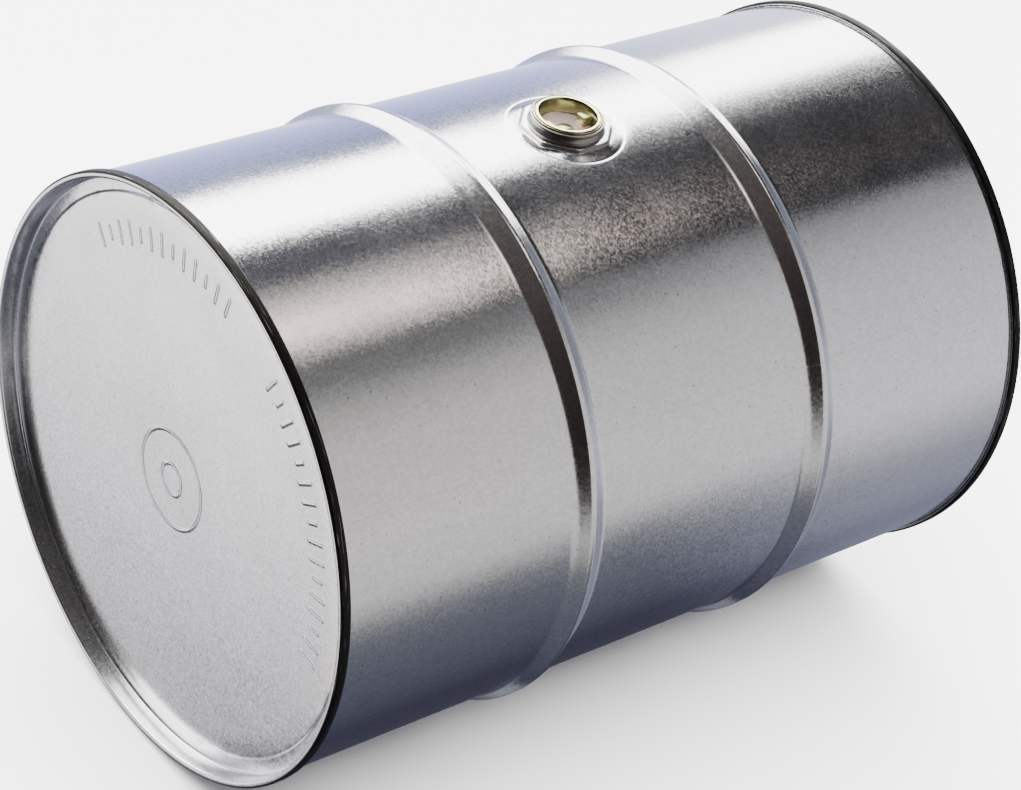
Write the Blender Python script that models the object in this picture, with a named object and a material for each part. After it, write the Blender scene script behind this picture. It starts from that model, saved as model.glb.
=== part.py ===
"""Steel oil drum: 200 litre tight-head drum of galvanised sheet, lying on its two rolling hoops.

The drum's axis runs along X, with the front head at -X. The bung points up, along +Z, so the bung's axis is the
Z axis. The origin is on the floor, under the middle of the drum. Each sheet part is built as its outer face and
thickened inwards by a Solidify.
"""

import math

import bmesh
import bpy

# Driving dimensions, in metres.
SHEET = 0.0012            # thickness of the body's and the heads' sheet
GAP = 0.0003              # gap between touching pieces
BORE_RADIUS = 0.28575     # inner radius of the body, for the standard 571.5 mm bore
LENGTH = 0.830            # over both chimes
FACETS = 40               # flat sides of the drum's round parts, one of them at the top and one at the bottom
BUNG_FACETS = 32          # sides of the bung's round parts, four to each side of the octagon

BODY_RADIUS = BORE_RADIUS + SHEET
HALF_LENGTH = LENGTH / 2

# Rolling hoops.
HOOP_OFFSET = 0.142       # from the drum's middle to each hoop's crest
HOOP_HEIGHT = 0.009
HOOP_FLANK = ((0.0215, 0.0), (0.0135, 0.2), (0.0042, 0.86), (0.0025, 1.0))   # off the crest, share of the height
CREST_RADIUS = BODY_RADIUS + HOOP_HEIGHT
AXIS_HEIGHT = CREST_RADIUS

# Double seam at each end, as radii and as depths below the chime's top. From outside to inside it holds the head's
# seaming wall, the body hook, the head hook, the body wall and the head's chuck wall.
LAYER = SHEET + GAP
CHIME_RADIUS = BODY_RADIUS + 3 * LAYER
CHUCK_RADIUS = BORE_RADIUS - LAYER
SEAM_HEIGHT = 0.0105
BODY_HOOK_END = 0.0075
HEAD_HOOK_END = 0.0042
CHIME_CORNER = 0.0026
COMPOUND_END = 0.0088
COMPOUND_MARGIN = 0.0005

# Head panel, as radii and as depths below the chime's top.
PANEL_FLAT_RADIUS = 0.245
PANEL_FLAT_DEPTH = 0.0170
PANEL_STEP_RADIUS = 0.267
PANEL_STEP_DEPTH = 0.0178
GROOVE_RADIUS = 0.271
GROOVE_DEPTH = 0.0195
GROOVE_CORNER = 0.003

# The bung's pocket in the body. Radii are round the bung's axis, and heights are above the drum's axis.
PATCH_HALF_LENGTH = 0.100
PATCH_ROWS = 4
PATCH_FACETS = 5          # sides of the body that the pocket's patch spans
POCKET_FLOOR = BODY_RADIUS - 0.002
POCKET_RIM = ((0.058, 0.0), (0.0567, 0.0003), (0.0555, 0.0004))   # radius, depth below the drum's wall
OCTAGON_TOP = BODY_RADIUS + 0.001
OCTAGON_FOOT_HALF = 0.0432
OCTAGON_TOP_HALF = 0.0410
COLLAR_TOP = BODY_RADIUS + 0.0079
COLLAR_ROOT_RADIUS = 0.0378
COLLAR_RADIUS = 0.0355
COLLAR_MOUTH_RADIUS = 0.0345
COLLAR_FILLET = ((0.0007, 0.0007), (0.0022, 0.0))     # rise above the octagon, width beyond the collar's radius

# Threaded flange insert, held by the collar, and its gasket.
FLANGE_NECK_RADIUS = COLLAR_MOUTH_RADIUS - SHEET - 0.0007
FLANGE_FOOT_HALF = 0.0395
FLANGE_GASKET_SPACE = 0.0021
FLANGE_FOOT_TOP = OCTAGON_TOP - SHEET - FLANGE_GASKET_SPACE
FLANGE_FOOT_BOTTOM = FLANGE_FOOT_TOP - 0.004
FLANGE_GASKET_RADII = (FLANGE_NECK_RADIUS + 0.0005, 0.0385)
LIP_RADIUS = 0.0356
LIP_BOTTOM = COLLAR_TOP + GAP
LIP_TOP = LIP_BOTTOM + 0.002
SEAT_RADIUS = 0.0324
SEAT_HEIGHT = LIP_TOP - 0.0017

# G2 thread: 11 turns to the inch, right-handed. Both ridges have the same section.
PITCH = 0.0254 / 11
PLUG_ROOT = 0.0282
PLUG_CREST = 0.0295
CLEARANCE = 0.0003
FLANGE_ROOT = PLUG_CREST + CLEARANCE
FLANGE_CREST = PLUG_ROOT + CLEARANCE
FLANK = math.tan(math.radians(27.5))
HALF_CREST_WIDTH = 0.00017
BURIED = 0.0004           # how far a ridge reaches into the wall that it stands on
RUN_OUT = 0.25            # turns over which a ridge rises from its wall
PLUG_TURNS = 4.5
FLANGE_TURNS = 4.75

# Plug, a cup with two wrench lugs, and its gasket.
PLUG_CHAMFER = 0.0016
HEAD_RADIUS = 0.0334
HEAD_BOTTOM = LIP_TOP + GAP
HEAD_EDGE_TOP = HEAD_BOTTOM + 0.0013
RIM_RADIUS = 0.0307
RIM_STEP_WIDTH = 0.0006
RIM_TOP = HEAD_BOTTOM + 0.0019
CUP_MOUTH_RADIUS = 0.0280
CUP_MOUTH_DEPTH = 0.0022
CUP_RADIUS = 0.0268
PLUG_BOTTOM = RIM_TOP - 0.0178
CUP_FLOOR = PLUG_BOTTOM + 0.002
BOSS_RADIUS = 0.007
BOSS_HEIGHT = 0.0012
LUG_INNER = 0.0165
LUG_HALF_WIDTH = 0.0062
LUG_HEIGHT = 0.0095
PLUG_GASKET_RADII = (0.0301, 0.0320)
PLUG_THREAD_START = PLUG_BOTTOM + 0.0024
FLANGE_THREAD_START = PLUG_THREAD_START - PITCH / 2

# Colour, roughness and metallic value of each finish.
GALVANISED = ("galvanised", (0.62, 0.63, 0.66), 0.32, 1.0)
ZINC_PLATED = ("zinc_plated", (0.70, 0.70, 0.68), 0.30, 1.0)
PASSIVATED = ("yellow_passivated", (0.72, 0.62, 0.33), 0.25, 1.0)
RUBBER = ("rubber", (0.03, 0.03, 0.03), 0.70, 0.0)
COMPOUND = ("seaming_compound", (0.45, 0.12, 0.08), 0.60, 0.0)


def arc(centre, radius, start, end, steps):
    """Points (depth, radius) on an arc, with angles in degrees from the depth axis towards the radius axis."""
    angles = [math.radians(start + (end - start) * i / steps) for i in range(steps + 1)]
    return [(centre[0] + radius * math.cos(a), centre[1] + radius * math.sin(a)) for a in angles]


def drum_point(x, radius, angle):
    """A corner round the drum's axis, with the angle from the top. The flat sides between lie at the radius."""
    corner = radius / math.cos(math.pi / FACETS)
    return (x, -corner * math.sin(angle), AXIS_HEIGHT + corner * math.cos(angle))


def bung_point(height, radius, angle):
    """A point round the bung's axis, with the height from the drum's axis and the angle from +X."""
    return (radius * math.cos(angle), radius * math.sin(angle), AXIS_HEIGHT + height)


DRUM_ANGLES = [2 * math.pi * (i + 0.5) / FACETS for i in range(FACETS)]
BUNG_ANGLES = [2 * math.pi * i / BUNG_FACETS for i in range(BUNG_FACETS)]


def octagon_point(height, half, angle):
    """A point on an octagon, half across flats, with its flats facing +X, +Y and between them."""
    eighth = math.pi / 4
    return bung_point(height, half / math.cos((angle + eighth / 2) % eighth - eighth / 2), angle)


def new_ring(mesh, place, across, radius, angles):
    return [mesh.verts.new(place(across, radius, angle)) for angle in angles]


def skin(mesh, outer, inner):
    """Quads between two closed rings of the same count."""
    for i in range(len(outer)):
        j = (i + 1) % len(outer)
        mesh.faces.new((outer[i], outer[j], inner[j], inner[i]))


def stitch(mesh, outer, inner):
    """Triangles between two closed loops round the bung's axis, whose counts differ."""
    def turn(loop, index):
        vert = loop[index % len(loop)]
        return math.atan2(vert.co.y, vert.co.x) % (2 * math.pi) + 2 * math.pi * (index // len(loop))

    outer = sorted(outer, key=lambda vert: turn([vert], 0))
    inner = sorted(inner, key=lambda vert: turn([vert], 0))
    a = b = 0
    while a < len(outer) or b < len(inner):
        here = (outer[a % len(outer)], inner[b % len(inner)])
        if b == len(inner) or (a < len(outer) and turn(outer, a + 1) <= turn(inner, b + 1)):
            a += 1
            mesh.faces.new((here[0], outer[a % len(outer)], here[1]))
        else:
            b += 1
            mesh.faces.new((here[0], inner[b % len(inner)], here[1]))


def make_object(name, mesh, finish=None):
    """Turns a bmesh into a named object, shaded smooth apart from its sharp edges."""
    data = bpy.data.meshes.new(name)
    mesh.to_mesh(data)
    mesh.free()
    data.shade_smooth()
    data.set_sharp_from_angle(angle=math.radians(30))
    made = bpy.data.objects.new(name, data)
    bpy.context.scene.collection.objects.link(made)
    if finish:
        look, colour, roughness, metallic = finish
        material = bpy.data.materials.new(f"{name}_{look}")
        material.use_nodes = True
        shader = material.node_tree.nodes["Principled BSDF"]
        shader.inputs["Base Color"].default_value = (*colour, 1.0)
        shader.inputs["Roughness"].default_value = roughness
        shader.inputs["Metallic"].default_value = metallic
        data.materials.append(material)
    return made


def thicken(sheet):
    """Gives a sheet its thickness, on the side that its faces look away from."""
    solidify = sheet.modifiers.new("sheet", "SOLIDIFY")
    solidify.thickness = SHEET
    solidify.offset = -1.0
    solidify.use_even_offset = True
    solidify.use_quality_normals = True


def join(piece, other):
    """Unites another solid with a piece, and hides it."""
    union = piece.modifiers.new(other.name, "BOOLEAN")
    union.operation = "UNION"
    union.solver = "EXACT"
    union.object = other
    other.hide_render = True
    other.display_type = "WIRE"
    other.hide_set(True)


def turned_solid(name, profile, place, angles, finish=None, capped=False):
    """A solid turned from (across, radius) points: a ring, or with capped a solid closed at both ends."""
    mesh = bmesh.new()
    rings = [new_ring(mesh, place, across, radius, angles) for across, radius in profile]
    for first, second in zip(rings, rings[1:]):
        skin(mesh, first, second)
    if capped:
        mesh.faces.new(rings[0])
        mesh.faces.new(rings[-1])
    else:
        skin(mesh, rings[-1], rings[0])
    bmesh.ops.recalc_face_normals(mesh, faces=mesh.faces)
    return make_object(name, mesh, finish)


def hoop_profile(centre):
    """Outer face of one rolling hoop, as (x, radius): a long foot, a straight flank and a narrow flat crest."""
    rising = [(across, BODY_RADIUS + HOOP_HEIGHT * share) for across, share in HOOP_FLANK]
    return [(centre - x, r) for x, r in rising] + [(centre + x, r) for x, r in reversed(rising)]


def body_hook():
    """Outer face of the body's end, from its cut edge round the fold to the wall, as (depth, radius)."""
    bend = (LAYER + GAP) / 2
    fold = 2 * SHEET + GAP + bend
    edge = (BODY_HOOK_END, BODY_RADIUS + 2 * bend)
    return [edge, *arc((fold, BODY_RADIUS + bend), bend, 90, 270, 4)]


def patch_profile():
    """Straight rows of the body across the bung's pocket, as (x, radius)."""
    steps = PATCH_ROWS - 1
    return [(PATCH_HALF_LENGTH * (2 * i / steps - 1), BODY_RADIUS) for i in range(PATCH_ROWS)]


def bung_pocket(mesh, boundary):
    """The ramped pocket, octagon and drawn collar round the bung, inwards from the edge of the body's patch."""
    rings = []
    for radius, depth in POCKET_RIM:
        ring = []
        for angle in BUNG_ANGLES:
            wall = math.sqrt(BODY_RADIUS ** 2 - (radius * math.sin(angle)) ** 2)
            ring.append(mesh.verts.new(bung_point(wall - depth, radius, angle)))
        rings.append(ring)
    rings.append(new_ring(mesh, octagon_point, POCKET_FLOOR, OCTAGON_FOOT_HALF, BUNG_ANGLES))
    rings.append(new_ring(mesh, octagon_point, OCTAGON_TOP, OCTAGON_TOP_HALF, BUNG_ANGLES))
    collar = (
        (OCTAGON_TOP, COLLAR_ROOT_RADIUS),
        *[(OCTAGON_TOP + rise, COLLAR_RADIUS + width) for rise, width in COLLAR_FILLET],
        (COLLAR_TOP, COLLAR_MOUTH_RADIUS),
    )
    rings += [new_ring(mesh, bung_point, height, radius, BUNG_ANGLES) for height, radius in collar]
    stitch(mesh, boundary, rings[0])
    for outer, inner in zip(rings, rings[1:]):
        skin(mesh, outer, inner)


def body_shell():
    """The rolled body: hooked ends, two rolling hoops and the bung's pocket, in one sheet."""
    hook = [(depth - HALF_LENGTH, radius) for depth, radius in body_hook()]
    front = hook + hoop_profile(-HOOP_OFFSET)
    profile = front + patch_profile() + [(-x, radius) for x, radius in reversed(front)]
    patch_rows = range(len(front), len(front) + PATCH_ROWS - 1)
    patch_columns = [(i - 1 - PATCH_FACETS // 2) % FACETS for i in range(PATCH_FACETS)]
    mesh = bmesh.new()
    rings = [new_ring(mesh, drum_point, x, radius, DRUM_ANGLES) for x, radius in profile]
    for row in range(len(rings) - 1):
        for column in range(FACETS):
            if row in patch_rows and column in patch_columns:
                continue
            after = (column + 1) % FACETS
            corners = (rings[row][column], rings[row][after], rings[row + 1][after], rings[row + 1][column])
            mesh.faces.new(corners)
    for vert in [v for v in mesh.verts if not v.link_faces]:
        mesh.verts.remove(vert)
    bung_pocket(mesh, [v for v in mesh.verts if v.is_boundary and abs(v.co.x) < HOOP_OFFSET])
    thicken(make_object("body_shell", mesh, GALVANISED))


def head_profile():
    """Outer face of a head, from its flat centre to the head hook's cut edge, as (depth, radius)."""
    hook_radius = BODY_RADIUS + GAP
    bend = (CHIME_RADIUS - hook_radius) / 2
    return [
        (PANEL_FLAT_DEPTH, PANEL_FLAT_RADIUS),
        (PANEL_STEP_DEPTH, PANEL_STEP_RADIUS),
        (GROOVE_DEPTH, GROOVE_RADIUS),
        *arc((GROOVE_DEPTH - GROOVE_CORNER, CHUCK_RADIUS - GROOVE_CORNER), GROOVE_CORNER, 0, 90, 1),
        *arc((CHIME_CORNER, CHUCK_RADIUS + CHIME_CORNER), CHIME_CORNER, 270, 180, 2),
        *arc((CHIME_CORNER, CHIME_RADIUS - CHIME_CORNER), CHIME_CORNER, 180, 90, 2),
        *arc((SEAM_HEIGHT - bend, CHIME_RADIUS - bend), bend, 90, -90, 4),
        (HEAD_HOOK_END, hook_radius),
    ]


def head(name, side):
    """One end of the drum: side -1 is the front head, at -X, and side 1 is the rear head."""
    mesh = bmesh.new()
    rings = [
        new_ring(mesh, drum_point, side * (HALF_LENGTH - depth), radius, DRUM_ANGLES)
        for depth, radius in head_profile()
    ]
    mesh.faces.new(rings[0])
    for inner, outer in zip(rings, rings[1:]):
        skin(mesh, outer, inner)
    if side < 0:
        bmesh.ops.reverse_faces(mesh, faces=mesh.faces)
    thicken(make_object(name, mesh, GALVANISED))


def seam_compound(name, side):
    """Sealing compound in the double seam, between the body hook's edge and the head's fold."""
    inner = BODY_RADIUS + LAYER + COMPOUND_MARGIN
    outer = CHIME_RADIUS - SHEET - COMPOUND_MARGIN
    top = BODY_HOOK_END + GAP
    profile = [
        (side * (HALF_LENGTH - depth), radius)
        for depth, radius in ((top, inner), (top, outer), (COMPOUND_END, outer), (COMPOUND_END, inner))
    ]
    turned_solid(name, profile, drum_point, DRUM_ANGLES, COMPOUND)


def thread_ridge(name, root, crest, start, turns):
    """A helical ridge on a round wall of radius root, buried in it at both ends.

    start is the height of the ridge's centre line at angle 0.
    """
    outwards = 1 if crest > root else -1
    depth = abs(crest - root)
    half_foot = HALF_CREST_WIDTH + FLANK * (depth + BURIED)
    foot = root - outwards * BURIED
    sunk = root - outwards * BURIED / 2
    steps = round(turns * BUNG_FACETS)
    mesh = bmesh.new()
    sections = []
    for step in range(steps + 1):
        turned = step / BUNG_FACETS
        angle = 2 * math.pi * turned
        centre = start + PITCH * turned
        rise = min(1.0, turned / RUN_OUT, (turns - turned) / RUN_OUT)
        top = sunk + (crest - sunk) * rise
        sections.append([
            mesh.verts.new(bung_point(centre - half_foot, foot, angle)),
            mesh.verts.new(bung_point(centre - HALF_CREST_WIDTH, top, angle)),
            mesh.verts.new(bung_point(centre + HALF_CREST_WIDTH, top, angle)),
            mesh.verts.new(bung_point(centre + half_foot, foot, angle)),
        ])
    for first, second in zip(sections, sections[1:]):
        skin(mesh, first, second)
    mesh.faces.new(sections[0])
    mesh.faces.new(sections[-1])
    bmesh.ops.recalc_face_normals(mesh, faces=mesh.faces)
    return make_object(name, mesh)


def bung_flange():
    """The threaded flange: an octagonal foot under the sheet, and a neck whose lip is rolled over the collar."""
    def place(height, radius, angle):
        return (octagon_point if radius > LIP_RADIUS else bung_point)(height, radius, angle)

    profile = [
        (FLANGE_FOOT_BOTTOM, FLANGE_FOOT_HALF),
        (FLANGE_FOOT_TOP, FLANGE_FOOT_HALF),
        (FLANGE_FOOT_TOP, FLANGE_NECK_RADIUS),
        (LIP_BOTTOM, FLANGE_NECK_RADIUS),
        (LIP_BOTTOM, LIP_RADIUS),
        (LIP_TOP, LIP_RADIUS),
        (LIP_TOP, SEAT_RADIUS),
        (SEAT_HEIGHT, SEAT_RADIUS),
        (SEAT_HEIGHT, FLANGE_ROOT),
        (FLANGE_FOOT_BOTTOM, FLANGE_ROOT),
    ]
    flange = turned_solid("bung_flange", profile, place, BUNG_ANGLES, ZINC_PLATED)
    join(flange, thread_ridge("flange_thread", FLANGE_ROOT, FLANGE_CREST, FLANGE_THREAD_START, FLANGE_TURNS))


def flat_gasket(name, bottom, top, radii):
    """A flat ring between two faces, with a gap to each."""
    low, high = bottom + GAP, top - GAP
    profile = [(low, radii[0]), (low, radii[1]), (high, radii[1]), (high, radii[0])]
    turned_solid(name, profile, bung_point, BUNG_ANGLES, RUBBER)


def bung_plug():
    """The threaded plug: a cup with a stepped head, and two lugs inside that a wrench turns it by."""
    profile = [
        (PLUG_BOTTOM, PLUG_ROOT - PLUG_CHAMFER),
        (PLUG_BOTTOM + PLUG_CHAMFER, PLUG_ROOT),
        (HEAD_BOTTOM, PLUG_ROOT),
        (HEAD_BOTTOM, HEAD_RADIUS),
        (HEAD_EDGE_TOP, HEAD_RADIUS),
        (HEAD_EDGE_TOP, RIM_RADIUS + RIM_STEP_WIDTH),
        (RIM_TOP, RIM_RADIUS),
        (RIM_TOP, CUP_MOUTH_RADIUS),
        (RIM_TOP - CUP_MOUTH_DEPTH, CUP_RADIUS),
        (CUP_FLOOR, CUP_RADIUS),
        (CUP_FLOOR, BOSS_RADIUS),
        (CUP_FLOOR + BOSS_HEIGHT, BOSS_RADIUS - BOSS_HEIGHT),
    ]
    plug = turned_solid("bung_plug", profile, bung_point, BUNG_ANGLES, PASSIVATED, capped=True)
    join(plug, thread_ridge("plug_thread", PLUG_ROOT, PLUG_CREST, PLUG_THREAD_START, PLUG_TURNS))
    for name, side in (("front_lug", -1), ("rear_lug", 1)):
        join(plug, wrench_lug(name, side))


def wrench_lug(name, side):
    """A block standing on the cup's floor and let into its wall, at -X or +X."""
    low = AXIS_HEIGHT + CUP_FLOOR - GAP
    size = (CUP_RADIUS + GAP - LUG_INNER, 2 * LUG_HALF_WIDTH, LUG_HEIGHT + GAP)
    mesh = bmesh.new()
    bmesh.ops.create_cube(mesh, size=1.0)
    bmesh.ops.scale(mesh, vec=size, verts=mesh.verts)
    bmesh.ops.translate(mesh, vec=(side * (LUG_INNER + size[0] / 2), 0, low + size[2] / 2), verts=mesh.verts)
    return make_object(name, mesh)


def main():
    for old in list(bpy.data.objects):
        bpy.data.objects.remove(old, do_unlink=True)
    body_shell()
    head("front_head", -1)
    head("rear_head", 1)
    seam_compound("front_seam_compound", -1)
    seam_compound("rear_seam_compound", 1)
    bung_flange()
    flat_gasket("bung_flange_gasket", FLANGE_FOOT_TOP, OCTAGON_TOP - SHEET, FLANGE_GASKET_RADII)
    bung_plug()
    flat_gasket("bung_plug_gasket", SEAT_HEIGHT, HEAD_BOTTOM, PLUG_GASKET_RADII)


main()
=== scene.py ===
"""Looks of the steel oil drum: fine sheet-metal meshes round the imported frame, finishes, and a plain studio.

The drum's axis runs along X and the bung's axis is the Z axis. Radii are round one of these two axes.
"""

import math

import bmesh
import bpy
from mathutils import Matrix, Quaternion, Vector


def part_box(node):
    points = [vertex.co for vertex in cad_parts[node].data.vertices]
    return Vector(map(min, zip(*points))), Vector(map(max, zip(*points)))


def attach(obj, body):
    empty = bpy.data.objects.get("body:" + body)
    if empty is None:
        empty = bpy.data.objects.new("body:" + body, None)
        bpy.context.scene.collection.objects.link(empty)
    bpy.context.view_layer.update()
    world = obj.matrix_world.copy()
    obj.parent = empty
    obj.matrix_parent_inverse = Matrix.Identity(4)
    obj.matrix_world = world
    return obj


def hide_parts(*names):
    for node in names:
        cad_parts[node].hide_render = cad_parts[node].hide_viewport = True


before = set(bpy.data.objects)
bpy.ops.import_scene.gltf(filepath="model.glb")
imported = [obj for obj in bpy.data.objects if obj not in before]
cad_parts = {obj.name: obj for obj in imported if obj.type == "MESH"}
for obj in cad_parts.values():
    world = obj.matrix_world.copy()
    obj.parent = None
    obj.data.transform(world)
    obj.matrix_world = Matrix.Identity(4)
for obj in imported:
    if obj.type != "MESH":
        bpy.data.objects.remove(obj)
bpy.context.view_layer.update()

# Sizes from the frame.
HEAD_LOW, HEAD_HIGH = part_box("front_head")
PLUG_LOW, PLUG_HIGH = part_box("bung_plug")
FLANGE_LOW, FLANGE_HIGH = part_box("bung_flange")
HALF_LENGTH = -HEAD_LOW.x
AXIS_HEIGHT = (HEAD_LOW.z + HEAD_HIGH.z) / 2
CHIME_RADIUS = (HEAD_HIGH.z - HEAD_LOW.z) / 2

# Sheet, seams and rolling hoops.
SHEET = 0.0012
GAP = 0.0003
LAYER = SHEET + GAP
BODY_RADIUS = CHIME_RADIUS - 3 * LAYER
BORE_RADIUS = BODY_RADIUS - SHEET
CHUCK_RADIUS = BORE_RADIUS - LAYER
CREST_RADIUS = AXIS_HEIGHT
HOOP_OFFSET = 0.142
HOOP_HALF_BASE = 0.0215
HOOP_HALF_CREST = 0.0007
HOOP_FOOT_BEND = 0.52       # of the flank's width, next to the wall
HOOP_CREST_BEND = 0.14      # of the flank's width, next to the crest
HOOP_FLANK_STEPS = 28
SEAM_HEIGHT = 0.0105
BODY_HOOK_END = 0.0075
HEAD_HOOK_END = 0.0042
CHIME_CORNER = 0.0026

# Head panel, as radii and as depths below the chime's top.
PANEL_FLAT_RADIUS = 0.245
PANEL_FLAT_DEPTH = 0.0170
PANEL_STEP_RADIUS = 0.267
PANEL_STEP_DEPTH = 0.0178
GROOVE_RADIUS = 0.271
GROOVE_DEPTH = 0.0195
GROOVE_CORNER = 0.003
PANEL_FACE = PANEL_FLAT_DEPTH - HALF_LENGTH     # the front head's flat, as x

# Steps over bends, round the drum and round the bung. The bung's patch is a square of the body's own grid.
BEND_STEPS = 6
SEAM_STEPS = 8
PANEL_STEPS = 8
SHARP_ANGLE = math.radians(40)
FACETS = 256
PATCH_HALF = 12
BUNG_FACETS = 8 * PATCH_HALF
PATCH_HALF_LENGTH = BODY_RADIUS * 2 * math.pi * PATCH_HALF / FACETS
PATCH_BLEND_RINGS = 6
RING_SPACING = 0.01

# The bung's pocket. Heights are above the drum's axis.
POCKET_RADIUS = 0.058
POCKET_RIM_WIDTH = 0.0025
POCKET_RIM_DEPTH = 0.0004
POCKET_RIM_STEPS = 6
POCKET_RAMP_STEPS = 6
POCKET_FLOOR = BODY_RADIUS - 0.002
OCTAGON_TOP = BODY_RADIUS + 0.001
OCTAGON_FOOT_HALF = 0.0432
OCTAGON_TOP_HALF = 0.0410
OCTAGON_SHARPNESS = 48
OCTAGON_SEAT = 0.0016       # width of the flat round the foot
OCTAGON_FOOT_BEND = ((0.0001, 0.0006), (0.0004, 0.0001))     # above the floor, outside the foot
OCTAGON_WALL_START = 0.0009     # above the floor
OCTAGON_WALL_STOP = 0.0007      # below the top
OCTAGON_TOP_BEND = ((0.0002, 0.0003), (0.0, 0.0012))     # below the top, inside it
COLLAR_TOP = BODY_RADIUS + 0.0079
COLLAR_ROOT_RADIUS = 0.0378
COLLAR_RADIUS = 0.0355
COLLAR_MOUTH_RADIUS = 0.0345


def arc(centre, radius, start, end, steps):
    """Points (across, radius) on an arc, with angles in degrees from the across axis to the radius axis."""
    angles = [math.radians(start + (end - start) * i / steps) for i in range(steps + 1)]
    return [(centre[0] + radius * math.cos(a), centre[1] + radius * math.sin(a)) for a in angles]


def eased(start, end, share):
    """A value that leaves start and reaches end smoothly."""
    return start + (end - start) * (1 - math.cos(math.pi * share)) / 2


def drum_point(x, radius, angle):
    """A point round the drum's axis, with the angle from the top."""
    return (x, -radius * math.sin(angle), AXIS_HEIGHT + radius * math.cos(angle))


def bung_point(height, radius, angle):
    """A point round the bung's axis, with the height from the drum's axis and the angle from +X."""
    return (radius * math.cos(angle), radius * math.sin(angle), AXIS_HEIGHT + height)


def octagon_point(height, half, angle):
    """A point on a round-cornered octagon, whose flats lie half away from the axis and face +X and +Y."""
    total = sum(max(0.0, math.cos(angle - side * math.pi / 4)) ** OCTAGON_SHARPNESS for side in range(8))
    return bung_point(height, half / total ** (1 / OCTAGON_SHARPNESS), angle)


DRUM_ANGLES = [2 * math.pi * i / FACETS for i in range(FACETS)]
BUNG_ANGLES = [2 * math.pi * i / BUNG_FACETS for i in range(BUNG_FACETS)]


def new_ring(mesh, place, across, radius, angles):
    """A closed ring of points, one at each angle."""
    return [mesh.verts.new(place(across, radius, angle)) for angle in angles]


def skin(mesh, outer, inner):
    """Quads between two closed rings of the same count."""
    for i in range(len(outer)):
        j = (i + 1) % len(outer)
        mesh.faces.new((outer[i], outer[j], inner[j], inner[i]))


def make_piece(name, mesh, body, nodes, material):
    """Turns a bmesh into a smooth piece that rides on a body and stands for some CAD nodes."""
    data = bpy.data.meshes.new(name)
    mesh.to_mesh(data)
    mesh.free()
    data.shade_smooth()
    data.set_sharp_from_angle(angle=SHARP_ANGLE)
    data.materials.append(material)
    piece = bpy.data.objects.new(name, data)
    bpy.context.scene.collection.objects.link(piece)
    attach(piece, body)
    if nodes:
        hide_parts(*nodes)
    return piece


def thicken(sheet):
    """Gives a sheet its thickness, on the side that its faces look away from."""
    solidify = sheet.modifiers.new("sheet", "SOLIDIFY")
    solidify.thickness = SHEET
    solidify.offset = -1.0
    solidify.use_even_offset = True
    solidify.use_quality_normals = True


def bend_rise(run, length):
    """Height gained over a run, where the slope grows smoothly from none to one along a length."""
    run = min(run, length)
    return (run - length * math.sin(math.pi * run / length) / math.pi) / 2


def hoop_rise(share):
    """Share of a hoop's height at a share of its flank's width: long foot, straight flank, tight crest."""
    foot = bend_rise(share, HOOP_FOOT_BEND)
    middle = min(max(0.0, share - HOOP_FOOT_BEND), 1 - HOOP_FOOT_BEND - HOOP_CREST_BEND)
    crest = HOOP_CREST_BEND / 2 - bend_rise(1 - share, HOOP_CREST_BEND)
    return (foot + middle + crest) / (1 - (HOOP_FOOT_BEND + HOOP_CREST_BEND) / 2)


def hoop_profile(centre):
    """Outer face of one rolling hoop, as (x, radius)."""
    rising = []
    for i in range(HOOP_FLANK_STEPS + 1):
        share = i / HOOP_FLANK_STEPS
        across = HOOP_HALF_BASE + (HOOP_HALF_CREST - HOOP_HALF_BASE) * share
        rising.append((across, BODY_RADIUS + (CREST_RADIUS - BODY_RADIUS) * hoop_rise(share)))
    return [(centre - x, r) for x, r in rising] + [(centre + x, r) for x, r in reversed(rising)]


def straight(start, end, radius):
    """Points between two places along a straight wall, so that its shading stays straight too."""
    steps = round((end - start) / RING_SPACING)
    return [(start + (end - start) * i / steps, radius) for i in range(1, steps)]


def body_hook():
    """Outer face of the body's end, from its cut edge round the fold to the wall, as (depth, radius)."""
    bend = (LAYER + GAP) / 2
    fold = 2 * SHEET + GAP + bend
    edge = (BODY_HOOK_END, BODY_RADIUS + 2 * bend)
    return [edge, *arc((fold, BODY_RADIUS + bend), bend, 90, 270, BEND_STEPS)]


def square_step(index):
    """Row and column, from the bung's axis, of a step round the patch's edge, counted from +X towards +Y."""
    side, along = divmod((index + PATCH_HALF) % BUNG_FACETS, 2 * PATCH_HALF)
    along -= PATCH_HALF
    places = ((PATCH_HALF, along), (-along, PATCH_HALF), (-PATCH_HALF, -along), (along, -PATCH_HALF))
    row, column = places[side]
    return row, -column


def wall_height(y):
    """Height of the drum's wall above its axis, at a distance to the side."""
    return math.sqrt(BODY_RADIUS ** 2 - y ** 2)


def blend_to_pocket(mesh, edge):
    """Rings on the drum's wall, from the patch's square edge to the pocket's round rim."""
    rings = []
    for i in range(1, PATCH_BLEND_RINGS + 1):
        share = i / PATCH_BLEND_RINGS
        ring = []
        for vert, angle in zip(edge, BUNG_ANGLES):
            x = vert.co.x + (POCKET_RADIUS * math.cos(angle) - vert.co.x) * share
            y = vert.co.y + (POCKET_RADIUS * math.sin(angle) - vert.co.y) * share
            ring.append(mesh.verts.new((x, y, AXIS_HEIGHT + wall_height(y))))
        rings.append(ring)
    return rings


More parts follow.
